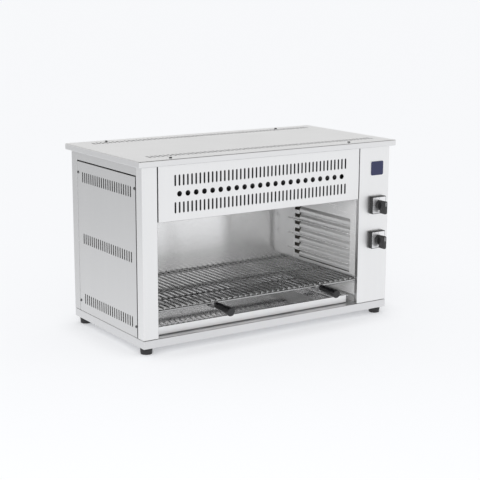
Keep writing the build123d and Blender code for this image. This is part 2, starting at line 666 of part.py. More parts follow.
# ---- drip tray ------------------------------------------------------------------------------------------------------
def drip_tray():
    """Shallow pan with a rim turned out on all sides and a deep lip across its front."""
    rim_x0 = TRAY_LEFT + TRAY_RIM
    rim_x1 = TRAY_RIGHT - TRAY_RIM
    rim_y0 = TRAY_FRONT + TRAY_RIM
    rim_y1 = TRAY_BACK - TRAY_RIM
    pan = span(rim_x0, rim_x1, rim_y0, rim_y1, TRAY_LOW, TRAY_HIGH)
    pan += span(TRAY_LEFT, TRAY_RIGHT, TRAY_FRONT, TRAY_BACK, TRAY_HIGH - SHEET, TRAY_HIGH)
    well = span(rim_x0 + SHEET, rim_x1 - SHEET, rim_y0 + SHEET, rim_y1 - SHEET, TRAY_LOW + SHEET, TRAY_HIGH)
    pan -= well
    lip_x0 = TRAY_LEFT + LIP_INSET
    lip_x1 = TRAY_RIGHT - LIP_INSET
    pan += span(lip_x0, lip_x1, TRAY_FRONT, TRAY_FRONT + SHEET, TRAY_LOW + 2, TRAY_HIGH)
    for x0, x1 in ((TRAY_LEFT, TRAY_LEFT + SHEET), (TRAY_RIGHT - SHEET, TRAY_RIGHT)):
        pan += span(x0, x1, TRAY_FRONT + 6, TRAY_BACK, TRAY_HIGH - 5, TRAY_HIGH)
    return pan


# ---- build -----------------------------------------------------------------------------------------------------------
def build_casing():
    """Every fixed piece."""
    save("base_pan", base_pan())
    save("front_post", front_channel(LEFT, CAV_LEFT))
    save("control_panel", control_panel())
    save("vent_panel", vent_panel())
    save("heat_shield", heat_shield())
    save("lid", lid())
    save("rear_panel", rear_panel())
    save("back_liner", back_liner())
    save("reflector", reflector())
    save("element_hangers", element_hangers())
    save("insulation_back", wool_back())
    save("insulation_top", wool_top())
    save("cable_gland", cable_gland())
    save("terminal_block", terminal_block())
    save("badge_plate", badge_plate())
    save("lid_screws", lid_screws())
    save("rear_screws", rear_screws())
    for name, start in ELEMENT_STARTS.items():
        save(f"element_{name}", element(start))


def build_sides():
    """Pieces that come as a left and a right one."""
    for name, shape in (("rear_post", rear_post()), ("upper_rail", upper_rail()), ("side_panel", side_panel())):
        save(f"{name}_left", shape)
        save(f"{name}_right", mirror_x(shape))
    across = Pos(CAV_LEFT + CAV_RIGHT, 0, 0)
    for name, shape in (("liner", liner()), ("rack_rails", rack_rails()), ("rack_ledges", rack_ledges()),
                        ("insulation", wool_side())):
        save(f"{name}_right", shape)
        save(f"{name}_left", across * mirror_x(shape))
    save("side_screws_left", side_screws(-1))
    save("side_screws_right", side_screws(1))


def build_feet():
    """Four feet and their screws."""
    places = {"left": -FOOT_X, "right": FOOT_X}
    for side, x in places.items():
        for end, y in zip(("front", "rear"), FOOT_Y):
            save(f"foot_{end}_{side}", foot(x, y))
    save("foot_screws", group(foot_screw(x, y) for x in places.values() for y in FOOT_Y))


def build_switches():
    """Two rotary switches."""
    for name, z in SWITCH_Z.items():
        save(f"switch_bezel_{name}", switch_bezel(z))
        save(f"face_plate_{name}", face_plate(z))
        save(f"switch_body_{name}", switch_body(z))
        save(f"knob_{name}", knob(z))
        save(f"shaft_{name}", shaft(z))


def build_rack_and_tray():
    """The two pieces that slide out."""
    save("rack_cross_wires", rack_cross_wires())
    save("rack_long_wires", rack_long_wires())
    save("handle_brackets", handle_brackets())
    save("handle_left", handle(HANDLE_X[0]))
    save("handle_right", handle(HANDLE_X[1]))
    save("drip_tray", drip_tray())


os.makedirs("parts", exist_ok=True)
build_casing()
build_sides()
build_feet()
build_switches()
build_rack_and_tray()
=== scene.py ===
"""Counter-top cheese melter: sheet-metal work, rack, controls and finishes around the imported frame."""
import bmesh
import bpy
import json
import math
from mathutils import Matrix, Vector


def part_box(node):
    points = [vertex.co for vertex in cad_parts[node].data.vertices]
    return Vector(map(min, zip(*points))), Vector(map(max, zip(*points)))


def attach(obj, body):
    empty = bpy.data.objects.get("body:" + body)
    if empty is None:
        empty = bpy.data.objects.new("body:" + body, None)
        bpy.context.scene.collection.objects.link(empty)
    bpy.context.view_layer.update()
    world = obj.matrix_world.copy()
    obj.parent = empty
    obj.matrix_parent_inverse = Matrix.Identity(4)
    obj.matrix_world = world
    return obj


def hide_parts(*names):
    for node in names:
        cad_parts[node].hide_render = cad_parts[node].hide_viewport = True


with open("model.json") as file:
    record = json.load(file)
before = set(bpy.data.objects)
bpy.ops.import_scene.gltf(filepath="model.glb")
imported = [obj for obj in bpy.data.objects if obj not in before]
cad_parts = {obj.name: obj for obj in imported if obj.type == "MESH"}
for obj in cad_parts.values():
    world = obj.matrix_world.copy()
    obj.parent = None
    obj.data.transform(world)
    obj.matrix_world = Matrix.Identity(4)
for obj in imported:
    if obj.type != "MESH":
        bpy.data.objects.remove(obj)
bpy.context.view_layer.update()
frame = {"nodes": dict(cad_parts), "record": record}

# ---- sizes in metres, from the frame and from the real sheet metal -------------------------------
MM = 0.001
NEAR = 0.1 * MM  # places closer than this count as the same
SHEET = 1.2 * MM
FOLD = 2.0 * MM  # outer radius of a post's front folds
ROLL = 1.4 * MM  # outer radius of a return's fold
ROUND = 4

LID_LOW, LID_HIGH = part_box("lid")
BASE_LOW, BASE_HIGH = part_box("base_pan")
PANEL_LOW, PANEL_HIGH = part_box("vent_panel")
POST_LOW, POST_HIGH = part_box("front_post")
CONTROL_LOW, CONTROL_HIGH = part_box("control_panel")
REAR_POST_LOW, REAR_POST_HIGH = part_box("rear_post_left")
RAIL_LOW, RAIL_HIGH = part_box("upper_rail_left")
SIDE_LOW, SIDE_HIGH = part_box("side_panel_left")
REAR_LOW, REAR_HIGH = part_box("rear_panel")
TRAY_LOW, TRAY_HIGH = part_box("drip_tray")

FRONT = BASE_LOW.y
BACK = BASE_HIGH.y
BASE = BASE_LOW.z
FLOOR = BASE_HIGH.z
TOP = LID_HIGH.z
UNDER_LID = POST_HIGH.z
CAV_LEFT = POST_HIGH.x
CAV_RIGHT = CONTROL_LOW.x
CAV_MID = (CAV_LEFT + CAV_RIGHT) / 2
CAV_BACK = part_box("back_liner")[0].y
CAV_TOP = PANEL_LOW.z
LINER_FRONT = FRONT + 12 * MM
RETURN = 12 * MM

SLOT_W = 5 * MM
SLOT_L = 28 * MM
SLOT_PITCH = 12 * MM
PUNCH = 8 * MM  # depth of a punch, enough to pass through any sheet
NOT_QUITE = 0.98  # keeps the two rounds at a slot's end from meeting
SEAM = Vector((0, 0, 1.2 * MM))  # gap between an upright and the lid or the base
VENT_Z = TOP - 88.8 * MM
VENT_ROW = 34 * MM
FRONT_SLOTS = 45
FRONT_HOLES = 22
FRONT_HOLE_R = 7 * MM
LID_SLOTS = 59
LID_SLOT_X = 10 * MM
LID_ROWS_Y = (FRONT + 52.7 * MM, FRONT + 349.8 * MM)
SIDE_SLOTS = 23
SIDE_SLOT_Y = FRONT + 191.5 * MM
SIDE_ROW_LOW = BASE + 59.3 * MM
SIDE_ROW_STEP = 165 * MM
GLAND_NECK_R = 10 * MM
REAR_SLOTS = 20
REAR_SLOT_PITCH = 24 * MM
REAR_ROWS_Z = (BASE + 110 * MM, BASE + 380 * MM)

STEPS = 7  # of the rack rails, each with a notch behind it
STEP_H = 21.54 * MM
WINDOW_LOW = BASE + 104.1 * MM
WINDOW_HIGH = WINDOW_LOW + STEPS * STEP_H
RAILS_FRONT = FRONT + 37 * MM
RAILS_BACK = FRONT + 275 * MM
NOTCH_BACK = FRONT + 297 * MM
NOTCH_H = 10.5 * MM
GROOVE_LOW = BASE + 86.5 * MM
GROOVE_HIGH = BASE + 98.5 * MM
GROOVE_DEPTH = 12 * MM
LINER_FOOT = BASE + 44 * MM
TRAY_RECESS = 14 * MM
LONG_WIRES = 37
MIDDLE_WIRE_Y = FRONT + 174 * MM
HANDLE_HEIGHT = 92.5 * MM
MARK_RING_R = 19 * MM
KNOB_R = 14 * MM
KNOB_DISC = 8 * MM
HEAD_H = 2.4 * MM


# ---- modelling helpers ---------------------------------------------------------------------------
def deselect():
    """Nothing selected."""
    bpy.ops.object.select_all(action="DESELECT")


def choose(piece):
    """Only this piece selected and active."""
    deselect()
    piece.select_set(True)
    bpy.context.view_layer.objects.active = piece


def settle(name):
    """Names the new primitive and puts its place into its mesh."""
    piece = bpy.context.object
    piece.name = name
    piece.data.name = name
    bpy.ops.object.transform_apply(location=True, rotation=True, scale=True)
    return piece


def block(name, low, high):
    """Box between two corners."""
    low, high = Vector(low), Vector(high)
    deselect()
    bpy.ops.mesh.primitive_cube_add(size=1, location=(low + high) / 2, scale=high - low)
    return settle(name)


def rod(name, start, end, radius, vertices=24, end_radius=None):
    """Round bar, or a taper, from one point to another."""
    start, end = Vector(start), Vector(end)
    along = end - start
    deselect()
    bpy.ops.mesh.primitive_cone_add(
        vertices=vertices,
        radius1=radius,
        radius2=radius if end_radius is None else end_radius,
        depth=along.length,
        location=(start + end) / 2,
        rotation=along.to_track_quat("Z", "Y").to_euler(),
    )
    return settle(name)


def pick_faces(piece, wanted):
    """Edit mode with the faces selected whose centre and normal are wanted."""
    choose(piece)
    bpy.ops.object.mode_set(mode="EDIT")
    bpy.ops.mesh.select_mode(type="FACE")
    bpy.ops.mesh.select_all(action="DESELECT")
    mesh = bmesh.from_edit_mesh(piece.data)
    for face in mesh.faces:
        face.select = bool(wanted(face.calc_center_median(), face.normal))
    mesh.select_flush_mode()
    bmesh.update_edit_mesh(piece.data)


def pick_edges(piece, wanted):
    """Edit mode with the edges selected whose two ends are wanted."""
    choose(piece)
    bpy.ops.object.mode_set(mode="EDIT")
    bpy.ops.mesh.select_mode(type="EDGE")
    bpy.ops.mesh.select_all(action="DESELECT")
    mesh = bmesh.from_edit_mesh(piece.data)
    for edge in mesh.edges:
        edge.select = bool(wanted(edge.verts[0].co, edge.verts[1].co))
    mesh.select_flush_mode()
    bmesh.update_edit_mesh(piece.data)


def done():
    """Back to object mode."""
    bpy.ops.object.mode_set(mode="OBJECT")


def open_side(piece, *normals):
    """Removes the faces that look along any of these normals."""
    sides = [Vector(normal) for normal in normals]
    pick_faces(piece, lambda centre, normal: any(normal.dot(side) > 0.99 for side in sides))
    bpy.ops.mesh.delete(type="FACE")
    done()


def round_edges(piece, wanted, radius, segments=ROUND):
    """Rolls the wanted edges to a radius."""
    pick_edges(piece, wanted)
    bpy.ops.mesh.bevel(offset=radius, segments=segments, affect="EDGES", profile=0.5)
    done()


def modify(piece, kind, **settings):
    """Adds a modifier, sets it and applies it."""
    choose(piece)
    modifier = piece.modifiers.new(kind.title(), kind)
    for key, value in settings.items():
        setattr(modifier, key, value)
    bpy.ops.object.modifier_apply(modifier=modifier.name)
    return piece


def thicken(piece, thickness=SHEET):
    """Gives a sheet its thickness, on the inner side of its surface."""
    return modify(piece, "SOLIDIFY", thickness=thickness, offset=-1, use_even_offset=True)


def soften(piece, width=0.3 * MM, segments=1, angle=50):
    """Breaks the sharp edges."""
    limit = math.radians(angle)
    return modify(piece, "BEVEL", width=width, segments=segments, limit_method="ANGLE", angle_limit=limit)


def smooth(piece, angle=32):
    """Smooth shading across folds and rounds, sharp at real edges."""
    choose(piece)
    bpy.ops.object.shade_smooth_by_angle(angle=math.radians(angle))
    return modify(piece, "WEIGHTED_NORMAL", keep_sharp=True, weight=100)


def repeat(piece, count, step):
    """Copies of a piece in a row."""
    return modify(
        piece, "ARRAY", count=count, use_relative_offset=False, use_constant_offset=True,
        constant_offset_displace=Vector(step),
    )


def join(name, *parts):
    """Several meshes as one piece."""
    deselect()
    for part in parts:
        part.select_set(True)
    bpy.context.view_layer.objects.active = parts[0]
    bpy.ops.object.join()
    parts[0].name = name
    parts[0].data.name = name
    return parts[0]


def punch(piece, *cutters):
    """Cuts holes through a piece and removes the cutters."""
    for cutter in cutters:
        modify(piece, "BOOLEAN", operation="DIFFERENCE", solver="EXACT", object=cutter)
        bpy.data.objects.remove(cutter)
    return piece


def mirrored(piece, name, middle=0.0):
    """A copy on the other side of the plane x = middle, with its faces turned the right way."""
    copy = piece.copy()
    copy.data = piece.data.copy()
    bpy.context.scene.collection.objects.link(copy)
    copy.name = name
    copy.data.name = name
    copy.data.transform(Matrix.Translation((2 * middle, 0, 0)) @ Matrix.Scale(-1, 4, (1, 0, 0)))
    copy.data.flip_normals()
    return copy


def slots(centre, across, along, count, pitch=SLOT_PITCH):
    """A row of round-ended slot punches: across is the row's direction, along each slot's length."""
    across, along = Vector(across), Vector(along)
    through = across.cross(along)
    half = Vector(map(abs, (across * SLOT_W + along * SLOT_L + through * PUNCH) / 2))
    first = Vector(centre) - across * pitch * (count - 1) / 2
    cutter = block("slot_punch", first - half, first + half)
    round_edges(cutter, lambda a, b: abs((b - a).normalized().dot(through)) > 0.99, SLOT_W / 2 * NOT_QUITE)
    return repeat(cutter, count, across * pitch)


def along_y(a, b):
    """Two places with the same x and z."""
    return abs(a.x - b.x) + abs(a.z - b.z) < 1e-6


def upright(a, b):
    """Two places with the same x and y."""
    return abs(a.x - b.x) + abs(a.y - b.y) < 1e-6


def foremost(y):
    """Picks the edges that lie on the front face at y."""
    return lambda a, b: max(a.y, b.y) < y + NEAR


def press(name, profile, y0, y1, radius, thickness=SHEET):
    """A sheet folded along a profile of x and z, running from y0 to y1."""
    run = Vector((0, y1 - y0, 0))
    points = [Vector((x, y0, z)) for x, z in profile]
    deselect()
    bpy.ops.mesh.primitive_plane_add(size=1)
    piece = settle(name)
    corners = (points[0], points[0] + run, points[1] + run, points[1])
    for index, place in zip(piece.data.polygons[0].vertices, corners):
        piece.data.vertices[index].co = place
    for before, after in zip(points[1:], points[2:]):
        pick_edges(piece, lambda a, b: along_y(a, before) and along_y(b, before))
        bpy.ops.mesh.extrude_edges_move(TRANSFORM_OT_translate={"value": after - before})
        done()
    at_fold = lambda v: any(along_y(v, fold) for fold in points[1:-1])
    round_edges(piece, lambda a, b: along_y(a, b) and at_fold(a), radius, 3)
    return thicken(piece, thickness)


# ---- finishes ------------------------------------------------------------------------------------
class Wire:
    """A node's output that adds, subtracts and multiplies as a number does."""

    def __init__(self, nodes, socket):
        self.nodes = nodes
        self.socket = socket

    def maths(self, operation, first, second):
        """One Math node."""
        return self.nodes.add("ShaderNodeMath", {"operation": operation}, {0: first, 1: second})

    def __add__(self, other):
        return self.maths("ADD", self, other)

    def __radd__(self, other):
        return self.maths("ADD", other, self)

    def __sub__(self, other):
        return self.maths("SUBTRACT", self, other)

    def __rsub__(self, other):
        return self.maths("SUBTRACT", other, self)

    def __mul__(self, other):
        return self.maths("MULTIPLY", self, other)

    def __rmul__(self, other):
        return self.maths("MULTIPLY", other, self)

    def at_least(self, other):
        """The larger of the two."""
        return self.maths("MAXIMUM", self, other)

    def at_most(self, other):
        """The smaller of the two."""
        return self.maths("MINIMUM", self, other)

    def size(self):
        """The number without its sign."""
        return self.at_least(self * -1.0)


class Nodes:
    """The nodes of one material or world."""

    def __init__(self, tree):
        self.tree = tree
        self.tree.nodes.clear()

    def add(self, kind, settings, values, output=0):
        """One node: its settings first, then its sockets' values or links."""
        node = self.tree.nodes.new(kind)
        for key, value in settings.items():
            setattr(node, key, value)
        for key, value in values.items():
            self.plug(node.inputs[key], value)
        return Wire(self, node.outputs[output])

    def plug(self, socket, value):
        """A link or a plain value into a socket."""
        if isinstance(value, Wire):
            self.tree.links.new(value.socket, socket)
        else:
            socket.default_value = value

    def ray(self, kind):
        """1 for one kind of ray and 0 for the others."""
        return self.add("ShaderNodeLightPath", {}, {}, kind)

    def reach(self, place, way):
        """How far a place lies along a direction."""
        return self.add("ShaderNodeVectorMath", {"operation": "DOT_PRODUCT"}, {0: place, 1: way}, "Value")

    def axis(self, place, name):
        """One coordinate of a place."""
        return self.add("ShaderNodeSeparateXYZ", {}, {0: place}, name)


class Finish(Nodes):
    """A surface finish: one Principled shader and the nodes that vary it."""

    def __init__(self, name, constants):
        self.material = bpy.data.materials.new(name)
        self.material.use_nodes = True
        super().__init__(self.material.node_tree)
        self.shader = self.tree.nodes.new("ShaderNodeBsdfPrincipled")
        self.output = self.tree.nodes.new("ShaderNodeOutputMaterial")
        self.tree.links.new(self.shader.outputs[0], self.output.inputs[0])
        for label, value in constants.items():
            self.shader.inputs[label].default_value = value

    def set(self, label, value):
        """A link or a plain value into the shader."""
        self.plug(self.shader.inputs[label], value)

    def place(self, scale):
        """Object coordinates, stretched."""
        here = self.add("ShaderNodeTexCoord", {}, {}, "Object")
        return self.add("ShaderNodeMapping", {}, {"Vector": here, "Scale": scale})

    def noise(self, scale, detail=2.0, roughness=0.5):
        """Cloudy noise; a small scale along an axis draws it out into streaks that way."""
        values = {"Vector": self.place(scale), "Scale": 1.0, "Detail": detail, "Roughness": roughness}
        return self.add("ShaderNodeTexNoise", {}, values, "Fac")

    def mix(self, factor, first, second):
        """A colour between two colours."""
        values = {0: factor, 6: (*first, 1.0), 7: (*second, 1.0)}
        return self.add("ShaderNodeMix", {"data_type": "RGBA"}, values, 2)

    def bump(self, height, strength, distance):
        """Relief from a height."""
        values = {"Height": height, "Strength": strength, "Distance": distance}
        self.set("Normal", self.add("ShaderNodeBump", {}, values))


def tint(tone, factor):
    """A colour made lighter or darker."""
    return tuple(channel * factor for channel in tone)


def streaks(grain, across, along):
    """Noise scale with the streaks along one axis."""
    scale = [across] * 3
    scale["xyz".index(grain)] = along
    return tuple(scale)


def brushed_steel(name, tone, grain, roughness=0.32, contrast=0.05, patchiness=0.06, metallic=1.0,
                  anisotropic=0.0):
    """Brushed stainless steel: hairlines along the grain, broad faint bands and wiped patches."""
    finish = Finish(name, {"Metallic": metallic, "Anisotropic": anisotropic, "Anisotropic Rotation": 0.25})
    hairline = finish.noise(streaks(grain, 900.0, 9.0), 3.0, 0.6)
    band = finish.noise(streaks(grain, 45.0, 1.1), 2.0, 0.5)
    patch = finish.noise((7.0, 7.0, 7.0), 3.0, 0.55)
    shade = hairline * 0.45 + band * 0.35 + patch * 0.2
    finish.set("Base Color", finish.mix(shade, tint(tone, 1 - contrast), tint(tone, 1 + contrast)))
    finish.set("Roughness", roughness + (hairline - 0.5) * contrast * 2.8 + (patch - 0.5) * patchiness)
    finish.bump(hairline, 0.10, 0.05 * MM)
    return finish.material


def polished_steel(name, tone, roughness=0.16, metallic=1.0):
    """Bright annealed sheet: nearly a mirror, with soft clouds of heat haze and fine wipe marks."""
    finish = Finish(name, {"Metallic": metallic})
    haze = finish.noise((5.0, 5.0, 5.0), 3.0, 0.6)
    wipe = finish.noise(streaks("x", 260.0, 14.0), 2.0, 0.5)
    finish.set("Base Color", finish.mix(haze, tint(tone, 0.96), tint(tone, 1.03)))
    finish.set("Roughness", roughness + (haze - 0.5) * 0.08 + (wipe - 0.5) * 0.04)
    return finish.material


def bright_wire(name, tone):
    """Drawn and plated wire with fine drawing lines."""
    finish = Finish(name, {"Metallic": 1.0})
    drawn = finish.noise(streaks("y", 1200.0, 30.0), 2.0, 0.5)
    grime = finish.noise((28.0, 28.0, 28.0), 3.0, 0.6)
    finish.set("Base Color", finish.mix(grime, tint(tone, 0.90), tint(tone, 1.04)))
    finish.set("Roughness", 0.22 + (drawn - 0.5) * 0.12 + (grime - 0.5) * 0.10)
    return finish.material


def moulded(name, tone, roughness, grain_size, relief, spread=0.2, coat=0.0):
    """Moulded plastic or rubber: fine texture, slight variation of tone and gloss."""
    finish = Finish(name, {"Metallic": 0.0, "Coat Weight": coat, "Coat Roughness": 0.25})
    pebble = finish.noise((grain_size,) * 3, 3.0, 0.6)
    cloud = finish.noise((18.0, 18.0, 18.0), 2.0, 0.5)
    shade = pebble * 0.6 + cloud * 0.4
    finish.set("Base Color", finish.mix(shade, tint(tone, 1 - spread), tint(tone, 1 + spread)))
    finish.set("Roughness", roughness + (cloud - 0.5) * 0.14 + (pebble - 0.5) * 0.08)
    finish.bump(pebble, 0.25, relief)
    return finish.material


def element_metal(name):
    """Heat-darkened element sheath: brown to grey scale, matt."""
    finish = Finish(name, {"Metallic": 0.85})
    scale = finish.noise((60.0, 60.0, 60.0), 4.0, 0.65)
    finish.set("Base Color", finish.mix(scale, (0.10, 0.085, 0.075), (0.30, 0.27, 0.25)))
    finish.set("Roughness", 0.55 + (scale - 0.5) * 0.3)
    finish.bump(scale, 0.3, 0.15 * MM)
    return finish.material


def mineral_wool(name):
    """Fibrous mineral wool, in a dark tone that is painted shade for the inside of the casing seen through
    the slots.
    """
    finish = Finish(name, {"Metallic": 0.0})
    fibre = finish.noise((420.0, 60.0, 200.0), 5.0, 0.7)
    # Dark tones: painted shade, not the wool's own colour.
    finish.set("Base Color", finish.mix(fibre, (0.09, 0.085, 0.075), (0.19, 0.18, 0.16)))
    finish.set("Roughness", 0.9 + (fibre - 0.5) * 0.1)
    finish.bump(fibre, 0.8, 1.0 * MM)
    return finish.material


FINISHES = {
    # The casing steels are one stainless steel with tones set panel by panel: lightest on the front,
    # darker on the lid, base, sides and rear. These tone steps are painted light and shade.
    "front_steel": brushed_steel("front_steel", (0.86, 0.86, 0.86), "z", 0.34),
    "base_steel": brushed_steel("base_steel", (0.74, 0.74, 0.745), "x", 0.34),
    "lid_steel": brushed_steel("lid_steel", (0.80, 0.80, 0.80), "x", 0.32),
    "side_steel": brushed_steel("side_steel", (0.72, 0.72, 0.72), "z", 0.36),
    "rear_steel": brushed_steel("rear_steel", (0.66, 0.66, 0.665), "x", 0.42),
    "liner_steel": brushed_steel("liner_steel", (0.95, 0.95, 0.95), "y", 0.26, 0.03, metallic=0.25),
    "rail_steel": polished_steel("rail_steel", (0.90, 0.90, 0.90), 0.24, 0.45),
    "mirror_steel": brushed_steel(
        "mirror_steel", (0.98, 0.98, 0.98), "x", 0.21, contrast=0.006, patchiness=0.02, anisotropic=1.0
    ),
    # Near-black heat shield: painted shade where the vent slots look into the casing.
    "shield_steel": polished_steel("shield_steel", (0.07, 0.07, 0.072), 0.36),
    "element_sheath": element_metal("element_sheath"),
    "mineral_wool": mineral_wool("mineral_wool"),
    "black_nylon": moulded("black_nylon", (0.022, 0.022, 0.024), 0.5, 900.0, 0.05 * MM),
    "terminal_plastic": moulded("terminal_plastic", (0.76, 0.73, 0.64), 0.5, 700.0, 0.05 * MM, 0.05),
    "badge_enamel": moulded("badge_enamel", (0.012, 0.016, 0.065), 0.34, 500.0, 0.02 * MM, 0.15, 0.1),
    "dark_screw": brushed_steel("dark_screw", (0.16, 0.16, 0.165), "x", 0.42),
    "foot_rubber": moulded("foot_rubber", (0.018, 0.018, 0.019), 0.62, 1100.0, 0.08 * MM),
    "zinc_steel": brushed_steel("zinc_steel", (0.62, 0.63, 0.65), "z", 0.34),
    "bezel_plastic": moulded("bezel_plastic", (0.015, 0.015, 0.016), 0.42, 900.0, 0.04 * MM),
    "switch_plastic": moulded("switch_plastic", (0.09, 0.09, 0.10), 0.5, 700.0, 0.05 * MM),
    "dial_aluminium": brushed_steel("dial_aluminium", (0.88, 0.88, 0.89), "x", 0.40, 0.03),
    "knob_plastic": moulded("knob_plastic", (0.018, 0.018, 0.019), 0.34, 1000.0, 0.03 * MM, 0.2, 0.2),
    "rack_wire": bright_wire("rack_wire", (0.46, 0.46, 0.46)),
    "bracket_steel": brushed_steel("bracket_steel", (0.76, 0.76, 0.77), "y", 0.30),
    "handle_phenolic": moulded("handle_phenolic", (0.006, 0.006, 0.007), 0.26, 900.0, 0.04 * MM, 0.2, 0.2),
    "tray_steel": polished_steel("tray_steel", (0.80, 0.80, 0.805), 0.08, 0.97),
}


def dress(piece, slot):
    """Gives a piece the finish of a slot."""
    piece.data.materials.clear()
    piece.data.materials.append(FINISHES[slot])
    return piece


def finish_piece(piece, slot, body, *nodes):
    """Finish, body and the CAD nodes that a new piece stands for."""
    dress(piece, slot)
    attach(piece, body)
    if nodes:
        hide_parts(*nodes)
    return piece


def dress_frame():
    """Every CAD node that still shows gets the finish of its slot."""
    for part in frame["record"]["subparts"]:
        node = frame["nodes"][part["node"]]
        dress(node, part["material_slot"])


# ---- casing --------------------------------------------------------------------------------------
def folded_pan(name, low, high, corner, upper, lower, flange):
    """Pan of folded sheet, open beneath inside a flange that is turned in all round."""
    piece = block(name, low, high)
    round_edges(piece, upright, corner)
    round_edges(piece, lambda a, b: min(a.z, b.z) > high.z - NEAR, upper)
    round_edges(piece, lambda a, b: max(a.z, b.z) < low.z + NEAR, lower)
    thicken(piece)
    inset = Vector((flange, flange, 0))
    up = Vector((0, 0, 2 * SHEET))
    opening = block("opening", low + inset - up, Vector((high.x, high.y, low.z)) - inset + up)
    return punch(piece, opening)


def lid():
    """Folded lid with its two rows of vent slots."""
    piece = folded_pan("lid_pan", LID_LOW, LID_HIGH, 3.6 * MM, 2.3 * MM, 2.8 * MM, 6 * MM)
    rows = [slots((LID_SLOT_X, y, TOP), (1, 0, 0), (0, 1, 0), LID_SLOTS) for y in LID_ROWS_Y]
    punch(piece, *rows)
    return finish_piece(smooth(piece), "lid_steel", "casing", "lid")


def vent_panel():
    """Front vent panel: folded at its foot and sides, punched with two rows of slots and one of holes."""
    gap = Vector((0.8 * MM, 0, 0))
    piece = block("vent_front", PANEL_LOW + gap, PANEL_HIGH - gap - SEAM)
    open_side(piece, (0, 1, 0), (0, 0, 1))
    free_edge = UNDER_LID - 2 * MM
    round_edges(piece, lambda a, b: foremost(FRONT)(a, b) and min(a.z, b.z) <= free_edge, 1.7 * MM)
    thicken(piece)
    rows_z = (VENT_Z - VENT_ROW, VENT_Z + VENT_ROW)
    rows = [slots((CAV_MID, FRONT, z), (1, 0, 0), (0, 0, 1), FRONT_SLOTS) for z in rows_z]
    pitch = 2 * SLOT_PITCH
    first = Vector((CAV_MID - pitch * (FRONT_HOLES - 1) / 2, FRONT, VENT_Z))
    through = Vector((0, PUNCH, 0))
    hole = rod("hole_punch", first - through, first + through, FRONT_HOLE_R, 28)
    repeat(hole, FRONT_HOLES, (pitch, 0, 0))
    punch(piece, *rows, hole)
    return finish_piece(smooth(piece), "front_steel", "casing", "vent_panel")


def upright_channel(name, low, high, inner_x, outer_x, node):
    """Front upright: face, outer return with a hem, and a short inner return."""
    piece = block(name, low + SEAM, high - SEAM)
    open_side(piece, (0, 1, 0), (0, 0, 1), (0, 0, -1))
    round_edges(piece, lambda a, b: upright(a, b) and a.y < FRONT + NEAR, FOLD)
    hem = math.copysign(RETURN, inner_x - outer_x)
    back_edge = lambda a, b: upright(a, b) and a.y > high.y - NEAR and abs(a.x - outer_x) < NEAR
    pick_edges(piece, back_edge)
    bpy.ops.mesh.extrude_edges_move(TRANSFORM_OT_translate={"value": (hem, 0, 0)})
    done()
    round_edges(piece, back_edge, ROLL)
    thicken(piece)
    reach = 2 * SHEET
    trim_low = (inner_x - reach, LINER_FRONT, low.z - MM)
    trim_high = (inner_x + reach, high.y + MM, high.z + MM)
    punch(piece, block("trim", trim_low, trim_high))
    return finish_piece(smooth(piece), "front_steel", "casing", node)


def front_post():
    """Left front upright."""
    return upright_channel("front_upright", POST_LOW, POST_HIGH, CAV_LEFT, POST_LOW.x, "front_post")


def control_panel():
    """Right front upright that carries the switches."""
    outer_x = CONTROL_HIGH.x
    return upright_channel("control_front", CONTROL_LOW, CONTROL_HIGH, CAV_RIGHT, outer_x, "control_panel")


def base_pan():
    """Folded floor pan, open beneath inside its bottom flanges."""
    piece = folded_pan("floor_pan", BASE_LOW, BASE_HIGH, 2.6 * MM, 1.8 * MM, 1.2 * MM, 48 * MM)
    return finish_piece(smooth(piece), "base_steel", "casing", "base_pan")


def side_pieces():
    """Rear posts, upper rails and slotted side panels, left and right."""
    post = block("rear_upright_left", REAR_POST_LOW + SEAM, REAR_POST_HIGH - SEAM)
    open_side(post, (0, -1, 0), (1, 0, 0), (0, 0, 1), (0, 0, -1))
    outer_edge = lambda a, b: upright(a, b) and a.x < REAR_POST_LOW.x + NEAR
    round_edges(post, lambda a, b: outer_edge(a, b) and a.y > BACK - NEAR, FOLD)
    pick_edges(post, lambda a, b: upright(a, b) and a.y < REAR_POST_LOW.y + NEAR)
    bpy.ops.mesh.extrude_edges_move(TRANSFORM_OT_translate={"value": (RETURN, 0, 0)})
    done()
    round_edges(post, lambda a, b: outer_edge(a, b) and a.y < REAR_POST_LOW.y + NEAR, ROLL)
    thicken(post)
    smooth(post)

    rail = block("rail_left", RAIL_LOW, RAIL_HIGH - SEAM)
    open_side(rail, (1, 0, 0), (0, 1, 0), (0, -1, 0), (0, 0, 1))
    low_edge = lambda a, b: max(a.z, b.z) < RAIL_LOW.z + NEAR and max(a.x, b.x) < RAIL_LOW.x + MM
    round_edges(rail, low_edge, 1.6 * MM)
    thicken(rail)
    smooth(rail)

    proud = Vector((-2 * MM, 0, 0))
    front_gap = Vector((0, 2 * MM, 0))
    top_gap = Vector((0, 0, MM))
    panel = block("side_sheet_left", SIDE_LOW + proud + front_gap, SIDE_HIGH + proud - top_gap)
    open_side(panel, (1, 0, 0), (0, 1, 0), (0, -1, 0))
    round_edges(panel, lambda a, b: max(a.x, b.x) < SIDE_LOW.x and abs(a.z - b.z) < MM, ROLL)
    thicken(panel)
    rows = []
    for row in range(3):
        centre = (SIDE_LOW.x, SIDE_SLOT_Y, SIDE_ROW_LOW + row * SIDE_ROW_STEP)
        rows.append(slots(centre, (0, 1, 0), (0, 0, 1), SIDE_SLOTS))
    punch(panel, *rows)
    smooth(panel)

    for piece, node in ((post, "rear_post"), (rail, "upper_rail"), (panel, "side_panel")):
        other = mirrored(piece, piece.name.replace("left", "right"))
        finish_piece(piece, "side_steel", "casing", f"{node}_left")
        finish_piece(other, "side_steel", "casing", f"{node}_right")


